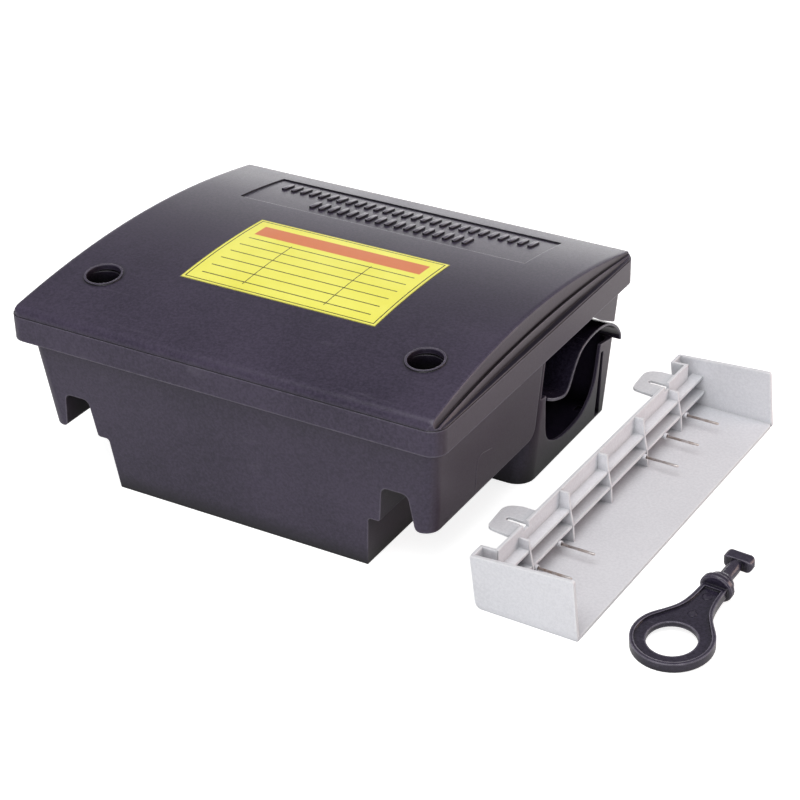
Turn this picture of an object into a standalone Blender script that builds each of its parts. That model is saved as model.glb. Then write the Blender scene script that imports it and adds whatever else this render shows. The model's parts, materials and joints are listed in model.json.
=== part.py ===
"""A lockable rodent bait station with its loose bait tray and key, each part a separate solid.

Metres, +Z up. The origin is on the floor under the middle of the lid. The long side of the box runs
along X, the hinge is at +Y, and the tray and the key lie beside the box on the same floor.
"""
import math

import bmesh
import bpy
from mathutils import Matrix, Vector

MM = 0.001
GAP = 0.3 * MM
WALL = 2.0 * MM
SKIM = 0.2 * MM
SIDES = (("left", -1), ("right", 1))

# Lid: a skirt, a groove above it, and a crown that arches from front to back.
LID_WIDTH = 270.0 * MM
LID_DEPTH = 230.0 * MM
LID_CORNER = 9.0 * MM
SKIRT_BOTTOM = 89.0 * MM
SKIRT_TOP = 103.6 * MM
GROOVE_TOP = 104.1 * MM
GROOVE_DEPTH = 0.9 * MM
CROWN_INSET = 0.5 * MM
CROWN_FRONT_RISE = 4.6 * MM
CROWN_REAR_RISE = 1.4 * MM
CROWN_ARCH = 12.3 * MM
CROWN_STEPS = 24
CROWN_END = (4.3 * MM, 1.7 * MM)
CROWN_HALF = 129.0 * MM
SHOULDER = 4.6 * MM
REAR_SHOULDER = 1.2 * MM
RIDGE_ARCH = 5.4 * MM
LABEL_HALF = 62.0 * MM
LABEL_Y = (-54.0 * MM, 26.5 * MM)
LABEL_THICKNESS = 0.3 * MM
PANEL_HALF = 95.0 * MM
PANEL_Y = (52.5 * MM, 99.0 * MM)
PANEL_DEPTH = 0.8 * MM

# Base: a drafted tub that stands on its well; the legs at both ends stop short of the floor.
DRAFT = 0.1
BASE_HALF = 119.4 * MM
BASE_FRONT = -98.3 * MM
BASE_REAR = 111.7 * MM
BASE_TOP = 101.1 * MM
BASE_CORNER = 8.0 * MM
BASE_REAR_CORNER = 4.0 * MM
FLOOR = 2.2 * MM
WELL_HALF = 81.0 * MM
LEG_BOTTOM = 32.5 * MM
CHANNEL_TOP = 55.0 * MM
HOUSING_FRONT = 9.0 * MM
HOUSING_CORNER = 11.0 * MM
SHELF_REAR = 7.0 * MM
APRON_END = 12.6 * MM
APRON_ROUND = 7.0 * MM
PARTITION_X = 84.5 * MM
TAB_REST = 97.0 * MM

# Entry hood: the S-shaped sheet over each tunnel, curled down behind the box.
HOOD_THICKNESS = 1.6 * MM
ENTRY_SILL = [(22.7, 49.4), (24.9, 39.4), (27.6, 28.0), (32.6, 20.2), (42.6, 14.2), (53.0, 11.6),
              (65.0, 11.2), (77.0, 12.8), (86.0, 18.8), (90.8, 27.0), (92.2, 38.0)]
HOOD_ROUTE = [(26.6, 49.8), (33.5, 46.0), (41.5, 42.9), (49.0, 41.3), (54.0, 43.6), (58.3, 49.6),
              (63.3, 55.8), (69.5, 60.6), (79.0, 63.2), (92.0, 63.6), (105.0, 60.8), (115.5, 54.4),
              (121.6, 47.0), (122.4, 42.8)]

# Hinge and locks.
HINGE_Y = 119.3 * MM
HINGE_Z = 85.2 * MM
KNUCKLE_RADIUS = 3.4 * MM
HINGE_PIN_RADIUS = 1.5 * MM
LUGS = ((58.0 * MM, 63.0 * MM), (77.0 * MM, 82.0 * MM))
LOCK_X = 102.0 * MM
LOCK_Y = -70.4 * MM
KEYHOLE_RADIUS = 9.6 * MM
WELL_RADIUS = 12.0 * MM
WELL_FLOOR = (96.0 * MM, 98.0 * MM)
NECK_RADIUS = 5.0 * MM
FOOT_Z = (84.2 * MM, 88.0 * MM)
FOOT_REACH = 18.0 * MM
CATCH_BOTTOM = 88.4 * MM

# Bait tray, in its own axes: u across the floor, w along it, z up.
TRAY_WIDTH = 60.0 * MM
TRAY_LENGTH = 248.0 * MM
TRAY_PLACE = Vector((149.6, -105.8, 0.0)) * MM
TRAY_TURN = math.radians(-1.5)
TRAY_WALL = 1.8 * MM
TRAY_BACK = 31.8 * MM
TRAY_LEDGE = 21.6 * MM
TRAY_SHELF = 12.3 * MM
CROSS_RIBS = [place * MM for place in (32.5, 77.2, 122.0, 167.0, 212.0)]
PIN_Z = 9.6 * MM
PIN_RADIUS = 0.75 * MM
PIN_REACH = (12.0 * MM, 37.8 * MM)
PIN_PLACES = [place * MM for place in (35.4, 61.4, 163.5, 190.5, 218.0)]

# Key, in its own axes: y along the shank, z through the flat handle.
KEY_PLACE = Vector((253.0, -88.5, 0.0)) * MM
KEY_TURN = math.radians(-4.2)
KEY_RING = 21.8 * MM
KEY_HOLE = 13.2 * MM
KEY_THICKNESS = 5.2 * MM
KEY_COLLAR = 8.8 * MM
KEY_COLLAR_Y = 48.2 * MM
KEY_COLLAR_STRETCH = (1.07, 1.0, 0.93)
KEY_HEAD = ((-8.6, 8.6), (70.2, 76.9), (-3.5, 3.5))


def clear_scene():
    """Remove whatever the scene starts with."""
    for item in list(bpy.data.objects):
        bpy.data.objects.remove(item, do_unlink=True)


def new_collection(name):
    collection = bpy.data.collections.new(name)
    bpy.context.scene.collection.children.link(collection)
    return collection


def new_material(name, colour, roughness, metallic=0.0):
    material = bpy.data.materials.new(name)
    material.use_nodes = True
    shader = material.node_tree.nodes["Principled BSDF"]
    shader.inputs["Base Color"].default_value = (*colour, 1.0)
    shader.inputs["Roughness"].default_value = roughness
    shader.inputs["Metallic"].default_value = metallic
    material.diffuse_color = (*colour, 1.0)
    return material


def new_object(name, mesh):
    """An object that starts among the cutters, until finish() makes it a part."""
    item = bpy.data.objects.new(name, mesh)
    CUTTERS.objects.link(item)
    item.hide_render = True
    item.display_type = "WIRE"
    return item


def finish(item, material, origin=(0.0, 0.0, 0.0), parent=None):
    """Make an object a part: move it to the parts, give it its finish and set its origin."""
    CUTTERS.objects.unlink(item)
    PARTS.objects.link(item)
    item.hide_render = False
    item.display_type = "TEXTURED"
    item.data.materials.clear()
    item.data.materials.append(new_material(item.name + "_finish", *material))
    item.data.transform(Matrix.Translation(-Vector(origin)))
    item.location = origin
    item.parent = parent
    return item


def combine(target, operation, tools):
    for tool in tools:
        modifier = target.modifiers.new(tool.name, "BOOLEAN")
        modifier.operation = operation
        modifier.object = tool


def cut(target, *tools):
    combine(target, "DIFFERENCE", tools)


def join(target, *tools):
    combine(target, "UNION", tools)


def mesh_from(work, name):
    bmesh.ops.recalc_face_normals(work, faces=work.faces)
    mesh = bpy.data.meshes.new(name)
    work.to_mesh(mesh)
    work.free()
    mesh.shade_smooth()
    mesh.set_sharp_from_angle(angle=math.radians(30))
    return mesh


def plate(name, outline, low, high, plane="XY"):
    """A flat outline, filled and extruded from low to high along the plane's normal."""
    curve = bpy.data.curves.new(name, "CURVE")
    curve.dimensions = "2D"
    curve.fill_mode = "BOTH"
    curve.extrude = abs(high - low) / 2
    for loop in (outline if isinstance(outline[0], list) else [outline]):
        spline = curve.splines.new("POLY")
        spline.points.add(len(loop) - 1)
        spline.use_cyclic_u = True
        for point, (a, b) in zip(spline.points, loop):
            point.co = (a, b, 0.0, 1.0)
    drawn = new_object(name + "_curve", curve)
    bpy.context.view_layer.update()
    graph = bpy.context.evaluated_depsgraph_get()
    filled = bpy.data.meshes.new_from_object(drawn.evaluated_get(graph))
    work = bmesh.new()
    work.from_mesh(filled)
    bmesh.ops.remove_doubles(work, verts=work.verts, dist=0.001 * MM)
    axes = {"XY": ((1, 0, 0), (0, 1, 0), (0, 0, 1)),
            "YZ": ((0, 0, 1), (1, 0, 0), (0, 1, 0)),
            "XZ": ((1, 0, 0), (0, 0, -1), (0, 1, 0))}[plane]
    turn = Matrix(axes).to_4x4()
    normal = Vector([row[2] for row in axes])
    middle = (low + high) / 2
    if plane == "XZ":
        middle = -middle
    bmesh.ops.transform(work, matrix=Matrix.Translation(normal * middle) @ turn, verts=work.verts)
    bpy.data.objects.remove(drawn)
    return new_object(name, mesh_from(work, name))


def drafted_box(name, x, y, z, draft=(0.0, 0.0, 0.0, 0.0), radius=0.0, segments=4,
                rear_radius=None):
    """A box given by its foot; its left, right, front and back lean outwards by draft."""
    work = bmesh.new()
    bmesh.ops.create_cube(work, size=2.0)
    rise = z[1] - z[0]
    left, right, front, back = (slope * rise for slope in draft)
    upright = [edge for edge in work.edges if abs(edge.verts[0].co.z - edge.verts[1].co.z) > 1.0]
    for vertex in work.verts:
        top = vertex.co.z > 0
        across, along = vertex.co.x > 0, vertex.co.y > 0
        vertex.co.x = x[1] + right * top if across else x[0] - left * top
        vertex.co.y = y[1] + back * top if along else y[0] - front * top
        vertex.co.z = z[1] if top else z[0]
    if radius:
        middle = (y[0] + y[1]) / 2
        for at_rear, width in ((False, radius), (True, rear_radius or radius)):
            corners = [edge for edge in upright if (edge.verts[0].co.y > middle) == at_rear]
            bmesh.ops.bevel(work, geom=corners, offset=width, segments=segments, profile=0.5,
                            affect="EDGES")
            upright = [edge for edge in upright if edge.is_valid]
    return new_object(name, mesh_from(work, name))


def box(name, x, y, z):
    return drafted_box(name, sorted(x), sorted(y), z)


def cylinder(name, centre, radius, low, high, axis="Z", sides=40):
    """A cylinder along Z, X or Y; centre gives the other two coordinates."""
    work = bmesh.new()
    bmesh.ops.create_cone(work, cap_ends=True, segments=sides, radius1=radius, radius2=radius,
                          depth=high - low)
    middle = (low + high) / 2
    turn, place = {
        "Z": (Matrix(), (*centre, middle)),
        "X": (Matrix.Rotation(math.pi / 2, 4, "Y"), (middle, *centre)),
        "Y": (Matrix.Rotation(math.pi / 2, 4, "X"), (centre[0], middle, centre[1])),
    }[axis]
    bmesh.ops.transform(work, matrix=Matrix.Translation(place) @ turn, verts=work.verts)
    return new_object(name, mesh_from(work, name))


def arc(centre, radius, start, end, steps):
    """Points along an arc, angles in degrees."""
    turns = (math.radians(start + (end - start) * k / steps) for k in range(steps + 1))
    return [(centre[0] + radius * math.cos(t), centre[1] + radius * math.sin(t)) for t in turns]


def rounded(corners, steps=5):
    """An outline from (a, b, radius) corners, each rounded by its own radius."""
    outline = []
    for index, (a, b, radius) in enumerate(corners):
        here = Vector((a, b))
        if not radius:
            outline.append((a, b))
            continue
        before = (Vector(corners[index - 1][:2]) - here).normalized()
        after = (Vector(corners[(index + 1) % len(corners)][:2]) - here).normalized()
        half = before.angle(after) / 2
        centre = here + (before + after).normalized() * radius / math.sin(half)
        start = here + before * radius / math.tan(half) - centre
        sweep = start.angle_signed(here + after * radius / math.tan(half) - centre)
        for k in range(steps + 1):
            spot = centre + Matrix.Rotation(-sweep * k / steps, 2) @ start
            outline.append((spot.x, spot.y))
    return outline


def rounded_rectangle(half_width, half_depth, radius, steps=6):
    w, d = half_width, half_depth
    return rounded([(-w, -d, radius), (w, -d, radius), (w, d, radius), (-w, d, radius)], steps)


def smooth_route(points, steps):
    """A smooth curve through the points, with steps pieces between each two."""
    knots = [Vector(point) for point in points]
    knots = [2 * knots[0] - knots[1], *knots, 2 * knots[-1] - knots[-2]]
    route = []
    for a, b, c, d in zip(knots, knots[1:], knots[2:], knots[3:]):
        for k in range(steps):
            t = k / steps
            route.append(0.5 * (2 * b + (c - a) * t + (2 * a - 5 * b + 4 * c - d) * t ** 2
                                + (3 * b - a - 3 * c + d) * t ** 3))
    route.append(knots[-2])
    return route


def band(route, thickness):
    """The closed outline of a strip of even thickness along a route."""
    near, far = [], []
    for index, point in enumerate(route):
        ahead = route[min(index + 1, len(route) - 1)] - route[max(index - 1, 0)]
        across = Vector((-ahead.y, ahead.x)).normalized() * thickness / 2
        near.append(tuple(point + across))
        far.append(tuple(point - across))
    return near + far[::-1]


def mirrored(outline, side):
    return [(side * a, b) for a, b in outline]


def scaled(corners):
    """Corners written in millimetres, as metres."""
    return [tuple(value * MM for value in corner) for corner in corners]


def crown_height(y, offset=0.0):
    """Height of the lid's arched top at depth y."""
    t = y / LID_DEPTH + 0.5
    ends = CROWN_FRONT_RISE + (CROWN_REAR_RISE - CROWN_FRONT_RISE) * t
    return GROOVE_TOP + ends + CROWN_ARCH * 4 * t * (1 - t) + offset


def crown_line(y_low, y_high, offset=0.0, steps=CROWN_STEPS):
    places = [y_low + (y_high - y_low) * k / steps for k in range(steps + 1)]
    return [(y, crown_height(y, offset)) for y in places]


def base_outer():
    """The solid outside of the base, with the channels under its front."""
    body = drafted_box("base_shell", (-BASE_HALF, BASE_HALF), (BASE_FRONT, BASE_REAR),
                       (0.0, BASE_TOP), (DRAFT, DRAFT, DRAFT, 0.0), BASE_CORNER, 6,
                       BASE_REAR_CORNER)
    underside = rounded(scaled([(80.8, -2.0, 0), (84.0, 32.0, 2.0), (91.2, 32.0, 1.5),
                                (94.0, 55.0, 4.0), (109.5, 55.0, 4.0), (112.5, 32.5, 3.0),
                                (140.0, 32.5, 0), (140.0, -2.0, 0)]), 4)
    for name, side in SIDES:
        cut(body, plate(name + "_channel", mirrored(underside, side), -140 * MM, HOUSING_FRONT,
                        "XZ"), housing_relief(name, side))
    return body


def housing_relief(name, side):
    """What is cut away round the housing's front corner, behind and below the end of the apron."""
    edge, front = BASE_HALF, HOUSING_FRONT
    corner = arc((edge - HOUSING_CORNER, front + HOUSING_CORNER), HOUSING_CORNER, -90, 0, 7)
    outside = [(edge - HOUSING_CORNER, 0.0), *corner, (edge + 20 * MM, front + HOUSING_CORNER),
               (edge + 20 * MM, 0.0)]
    relief = plate(name + "_relief", mirrored(outside, side), -1 * MM, 90.5 * MM)
    for vertex in relief.data.vertices:
        vertex.co.x += side * DRAFT * vertex.co.z
    under = (APRON_END - APRON_ROUND, LEG_BOTTOM + APRON_ROUND)
    profile = [(under[0], -2 * MM), *arc(under, APRON_ROUND, -90, 0, 6), (APRON_END, 92 * MM),
               (30 * MM, 92 * MM), (30 * MM, -2 * MM)]
    combine(relief, "INTERSECT", [plate(name + "_apron_end", profile, *sorted(
        (side * 100 * MM, side * 150 * MM)), "YZ")])
    return relief


def base_hollows(body):
    """The chamber, the shelf over the channels, the pockets and the two tunnels."""
    lean = DRAFT * FLOOR
    cut(body, drafted_box("chamber", (-79 * MM, 79 * MM), (BASE_FRONT + WALL - lean, BASE_REAR - WALL),
                          (FLOOR, 110 * MM), (0.03, 0.03, DRAFT, 0.0), 5 * MM))
    shelf_z = CHANNEL_TOP + FLOOR
    reach = BASE_HALF - WALL + DRAFT * shelf_z + SKIM
    front = BASE_FRONT + WALL - DRAFT * shelf_z - SKIM
    cut(body, drafted_box("shelf", (-reach, reach), (front, SHELF_REAR), (shelf_z, 110 * MM),
                          (DRAFT, DRAFT, DRAFT, 0.0), 6 * MM))
    low = LEG_BOTTOM + FLOOR
    front = BASE_FRONT + WALL - DRAFT * low + SKIM
    outer = BASE_HALF - WALL + DRAFT * low - SKIM
    for name, side in SIDES:
        pocket = drafted_box(name + "_pocket", sorted((side * 70 * MM, side * 89 * MM)),
                             (front, SHELF_REAR), (low, 60 * MM), (0.1, 0.1, DRAFT, 0.0), 3 * MM)
        trough = drafted_box(name + "_leg_trough", sorted((side * 114.8 * MM, side * outer)),
                             (front + 4 * MM, 3 * MM), (low + 1 * MM, 60 * MM),
                             (0.1, 0.1, DRAFT, 0.0), 2 * MM)
        inner, outer_low = side * PARTITION_X, side * (BASE_HALF - WALL + lean)
        outward = (0.0, DRAFT) if side > 0 else (DRAFT, 0.0)
        tunnel = drafted_box(name + "_tunnel", sorted((inner, outer_low)),
                             (HOUSING_FRONT + 2.2 * MM, BASE_REAR - WALL), (FLOOR, 110 * MM),
                             (*outward, 0.0, 0.0), 9 * MM, 6)
        cut(body, pocket, trough, tunnel)


def base_openings(body):
    """The entries through the outer walls and the doorways through the partitions."""
    arch = [tuple(point * MM) for point in smooth_route(ENTRY_SILL, 3)]
    entry = scaled([(17.0, 90.0), (17.0, 54.5), (22.2, 54.5)]) + arch
    entry += scaled([(92.4, 53.6), (118.0, 48.6), (118.0, 59.0), (106.5, 62.2), (91.0, 70.2),
                     (59.0, 90.0)])
    groove = scaled([(97.2, 1.4), (103.2, 1.4), (97.6, 47.0), (94.2, 47.0)])
    doorway = rounded(scaled([(42.0, 3.4, 3.0), (84.0, 3.4, 3.0), (84.0, 47.0, 14.0),
                              (42.0, 47.0, 14.0)]))
    slot_route = [point * MM for point in smooth_route(HOOD_ROUTE, 3) if point.x > 88.0]
    slot = band(slot_route, HOOD_THICKNESS + 2.2 * GAP)
    for name, side in SIDES:
        near, far = sorted((side * 106 * MM, side * 140 * MM))
        cut(body, plate(name + "_entry", entry, near, far, "YZ"))
        cut(body, plate(name + "_post_groove", groove, near, far, "YZ"))
        near, far = sorted((side * 74 * MM, side * 92 * MM))
        cut(body, plate(name + "_doorway", doorway, near, far, "YZ"))
        near, far = sorted((side * (PARTITION_X + 0.2 * MM), side * 140 * MM))
        cut(body, plate(name + "_hood_slot", slot, near, far, "YZ"))
        cut(body, box(name + "_tab_rest", (side * 67.5 * MM, side * 99.5 * MM),
                      (4 * MM, 27 * MM), (TAB_REST, 110 * MM)))


def hinge_plate(name, outline, low, high):
    return plate(name, outline, low, high, "YZ")


def base_fittings(body):
    """What the base carries: the hinge lugs and the lock catches."""
    lug = [(BASE_REAR - 1 * MM, 76 * MM)]
    lug += arc((HINGE_Y, HINGE_Z), KNUCKLE_RADIUS, -60, 90, 10)
    lug.append((BASE_REAR - 1 * MM, HINGE_Z + KNUCKLE_RADIUS))
    catch = scaled([(-104.8, 76.0), (-106.2, 91.2), (-83.5, 91.2), (-83.5, 88.4), (-95.0, 88.4)])
    for name, side in SIDES:
        for number, (low, high) in enumerate(LUGS, start=1):
            near, far = sorted((side * low, side * high))
            join(body, hinge_plate(f"{name}_lug_{number}", lug, near, far))
        near, far = sorted((side * 94.5 * MM, side * 109.5 * MM))
        join(body, plate(name + "_catch", catch, near, far, "YZ"))
        near, far = sorted((side * (LUGS[0][0] - 2 * MM), side * (LUGS[1][1] + 2 * MM)))
        cut(body, cylinder(name + "_lug_bore", (HINGE_Y, HINGE_Z), HINGE_PIN_RADIUS + GAP,
                           near, far, "X", 20))


def build_base():
    body = base_outer()
    base_hollows(body)
    base_openings(body)
    base_fittings(body)
    return finish(body, BLACK_PLASTIC)


def build_hoods():
    route = [point * MM for point in smooth_route(HOOD_ROUTE, 3)]
    outline = band(route, HOOD_THICKNESS)
    for name, side in SIDES:
        near, far = sorted((side * (PARTITION_X + 0.6 * MM), side * 123.8 * MM))
        finish(plate(name + "_entry_hood", outline, near, far, "YZ"), GLOSS_BLACK)


def build_hinge_pins():
    for name, side in SIDES:
        near, far = sorted((side * (LUGS[0][0] - 0.6 * MM), side * (LUGS[1][1] + 0.6 * MM)))
        pin = cylinder(name + "_hinge_pin", (HINGE_Y, HINGE_Z), HINGE_PIN_RADIUS, near, far, "X", 20)
        finish(pin, STEEL, ((near + far) / 2, HINGE_Y, HINGE_Z))


def lid_section(y):
    """Half of the lid's top in section at depth y, from the middle out, as (x, z) points."""
    t = y / LID_DEPTH + 0.5
    bulge = 4 * t * (1 - t)
    front, rear = -LID_DEPTH / 2 + CROWN_INSET, LID_DEPTH / 2 - CROWN_INSET
    top = crown_height(y)
    for radius, reach in ((SHOULDER, y - front), (REAR_SHOULDER, rear - y)):
        if reach < radius:
            top -= radius - math.sqrt(max(radius ** 2 - (radius - reach) ** 2, 0.0))
    end = LID_WIDTH / 2 - CROWN_END[0] - CROWN_END[1] * bulge
    ridge = min(GROOVE_TOP + 0.6 * MM + RIDGE_ARCH * bulge, top - 0.5 * MM)
    valley = ridge - 0.9 * MM * bulge
    gutter = GROOVE_TOP + (ridge - GROOVE_TOP) * 0.12
    fall = min(1.4 * MM, 0.3 * (top - ridge))
    return [(60 * MM, top), (end - 3.0 * MM, top), (end - 1.0 * MM, top - 0.15 * fall),
            (end - 0.3 * MM, top - 0.45 * fall), (end, top - fall), (end + 0.5 * MM, valley),
            (end + 1.1 * MM, ridge - 0.15 * MM), (end + 1.8 * MM, ridge),
            (end + 2.4 * MM, ridge - 0.5 * (ridge - gutter)), (end + 2.7 * MM, gutter),
            (LID_WIDTH / 2 + 6 * MM, gutter)]


def lid_top():
    """The arched crown with a ridge along each end, lofted from front to back."""
    front, rear = -LID_DEPTH / 2 + CROWN_INSET, LID_DEPTH / 2 - CROWN_INSET
    shoulder = [front + SHOULDER * (1 - math.cos(math.radians(15 * k))) for k in range(6)]
    first, last = front + SHOULDER, rear - REAR_SHOULDER
    middle = [first + (last - first) * k / CROWN_STEPS for k in range(CROWN_STEPS + 1)]
    stations = shoulder + middle + [rear - 0.4 * MM, rear]
    work = bmesh.new()
    rows = []
    for y in stations:
        half = lid_section(y)
        section = [(-x, z) for x, z in reversed(half)] + half
        floor = SKIRT_TOP - 1 * MM
        section = [(section[0][0], floor), *section, (section[-1][0], floor)]
        rows.append([work.verts.new((x, y, z)) for x, z in section])
    for here, ahead in zip(rows, rows[1:]):
        for k in range(len(here)):
            after = (k + 1) % len(here)
            work.faces.new((here[k], here[after], ahead[after], ahead[k]))
    work.faces.new(rows[0])
    work.faces.new(rows[-1])
    crown = new_object("crown", mesh_from(work, "crown"))
    plan = rounded_rectangle(LID_WIDTH / 2 - CROWN_INSET, LID_DEPTH / 2 - CROWN_INSET / 2,
                             LID_CORNER)
    combine(crown, "INTERSECT", [plate("crown_plan", plan, 95 * MM, 125 * MM)])
    return crown


def lid_outer():
    """Skirt, fine groove and arched crown, joined into one body."""
    half_w, half_d = LID_WIDTH / 2, LID_DEPTH / 2
    lid = plate("lid_shell", rounded_rectangle(half_w, half_d, LID_CORNER), SKIRT_BOTTOM, SKIRT_TOP)
    groove = rounded_rectangle(half_w - GROOVE_DEPTH, half_d - GROOVE_DEPTH,
                               LID_CORNER - GROOVE_DEPTH)
    join(lid, plate("lid_groove", groove, SKIRT_TOP - 2 * MM, GROOVE_TOP + 0.3 * MM), lid_top())
    return lid


def lid_hollow(lid):
    """The space under the skirt and under the crown."""
    half_w, half_d = LID_WIDTH / 2 - 2.2 * MM, LID_DEPTH / 2 - 2.2 * MM
    cut(lid, plate("skirt_hollow", rounded_rectangle(half_w, half_d, LID_CORNER - 2.2 * MM),
                   80 * MM, SKIRT_TOP - 2.0 * MM))
    line = crown_line(-half_d + 4.5 * MM, half_d - 2 * MM, -2.4 * MM)
    line = [(y, z) for y, z in line if z > SKIRT_TOP - 1.9 * MM]
    hollow = [(line[0][0], 95 * MM), *line, (line[-1][0], 95 * MM)]
    half = CROWN_HALF - 2.4 * MM
    cut(lid, plate("crown_hollow", hollow, -half, half, "YZ"))


def lid_surface(lid):
    """The shallow recesses for the label and the rear panel."""
    for name, half, (low, high), depth in (("label_recess", LABEL_HALF + GAP, LABEL_Y, 0.45 * MM),
                                           ("rear_panel", PANEL_HALF, PANEL_Y, PANEL_DEPTH)):
        if name == "label_recess":
            low, high = low - GAP, high + GAP
        floor = crown_line(low, high, -depth, 12)
        cut(lid, plate(name, [*floor, (high, 125 * MM), (low, 125 * MM)], -half, half, "YZ"))


def lid_fittings(lid):
    """The two key wells and the hinge knuckles."""
    slope = (crown_height(LOCK_Y + 5 * MM) - crown_height(LOCK_Y - 5 * MM)) / (10 * MM)
    top = crown_height(LOCK_Y)
    for name, side in SIDES:
        centre = (side * LOCK_X, LOCK_Y)
        tube = cylinder(name + "_well_tube", centre, WELL_RADIUS, WELL_FLOOR[0], top - 2.2 * MM)
        rim = cylinder(name + "_well_rim", (0, 0), KEYHOLE_RADIUS + 1.3 * MM, -2.2 * MM, 0.7 * MM)
        rim.data.transform(Matrix.Translation((*centre, top))
                           @ Matrix.Rotation(math.atan(slope), 4, "X"))
        join(lid, tube, rim)
        cut(lid, cylinder(name + "_well_bore", centre, KEYHOLE_RADIUS, WELL_FLOOR[1], top + 9 * MM),
            cylinder(name + "_neck_bore", centre, NECK_RADIUS + GAP, 90 * MM, top))
        knuckle = [(113.4 * MM, 97 * MM), (113.4 * MM, 90.2 * MM),
                   (HINGE_Y - KNUCKLE_RADIUS, 88.2 * MM)]
        knuckle += arc((HINGE_Y, HINGE_Z), KNUCKLE_RADIUS, 180, 380, 14)
        near, far = sorted((side * (LUGS[0][1] + 0.4 * MM), side * (LUGS[1][0] - 0.4 * MM)))
        join(lid, hinge_plate(name + "_knuckle", knuckle, near, far))
        cut(lid, cylinder(name + "_knuckle_bore", (HINGE_Y, HINGE_Z), HINGE_PIN_RADIUS + GAP,
                          near - 1 * MM, far + 1 * MM, "X", 20))


def build_lid():
    lid = lid_outer()
    lid_hollow(lid)
    lid_fittings(lid)
    lid_surface(lid)
    return finish(lid, BLACK_PLASTIC, (0.0, HINGE_Y, HINGE_Z))


def build_label():
    lower = crown_line(*LABEL_Y, -0.15 * MM, 12)
    upper = crown_line(*LABEL_Y, -0.15 * MM + LABEL_THICKNESS, 12)
    label = plate("label_sticker", lower + upper[::-1], -LABEL_HALF, LABEL_HALF, "YZ")
    finish(label, YELLOW_FILM, (0.0, LABEL_Y[0], crown_height(LABEL_Y[0])))


def build_lock(name, side):
    """One lock: the barrel that the key turns, its spring and the clip that holds both."""
    centre = (side * LOCK_X, LOCK_Y)
    head = (WELL_FLOOR[1] + GAP, WELL_FLOOR[1] + 7.5 * MM)
    barrel = cylinder(name + "_lock_barrel", centre, KEYHOLE_RADIUS - 0.5 * MM, *head)
    neck = cylinder(name + "_neck", centre, NECK_RADIUS, FOOT_Z[1] - 1 * MM, head[0] + 1 * MM)
    reach, wide = FOOT_REACH, 4.0 * MM
    foot = rounded([(-6 * MM, -wide, 2 * MM), (reach, -wide, 2 * MM), (reach, wide, 2 * MM),
                    (-6 * MM, wide, 2 * MM)], 3)
    foot = [(centre[0] - side * a, centre[1] + b) for a, b in foot]
    join(barrel, neck, plate(name + "_foot", foot, *FOOT_Z))
    cut(barrel, box(name + "_key_slot", (centre[0] - 12 * MM, centre[0] + 12 * MM),
                    (centre[1] - 3.5 * MM, centre[1] + 3.5 * MM),
                    (head[1] - 4.6 * MM, head[1] + 2 * MM)))
    finish(barrel, GREY_PLASTIC, (*centre, FOOT_Z[0]))

    inner, outer = NECK_RADIUS + GAP, 7.4 * MM
    ring = arc((0, 0), outer, 25, 335, 24) + arc((0, 0), inner, 335, 25, 24)
    ring = [(centre[0] + a, centre[1] + b) for a, b in ring]
    clip = plate(name + "_lock_clip", ring, 88.6 * MM, 89.8 * MM)
    finish(clip, STEEL, (*centre, 89.2 * MM))

    turns, sides = 3.5, 14
    wire = 0.45 * MM
    low, high = 89.8 * MM + GAP + wire, WELL_FLOOR[0] - GAP - wire
    curve = bpy.data.curves.new(name + "_lock_spring", "CURVE")
    curve.dimensions = "3D"
    curve.bevel_depth = wire
    curve.bevel_resolution = 2
    curve.use_fill_caps = True
    spline = curve.splines.new("POLY")
    count = int(turns * sides)
    spline.points.add(count)
    for index, point in enumerate(spline.points):
        angle = 2 * math.pi * index / sides
        height = low + (high - low) * index / count
        point.co = (centre[0] + 6.4 * MM * math.cos(angle), centre[1] + 6.4 * MM * math.sin(angle),
                    height, 1.0)
    finish(new_object(name + "_lock_spring", curve), STEEL, (*centre, low))


def tray_end(name, low, high):
    """An end wall of the tray: its edges lean back and its top rises towards the open side."""
    outline = rounded(scaled([(0.6, 0.0, 4.5), (60.0, 0.0, 0.6), (56.6, 35.2, 1.6),
                              (-3.0, 31.0, 0.8)]), 5)
    return plate(name, outline, low, high, "XZ")


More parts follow.
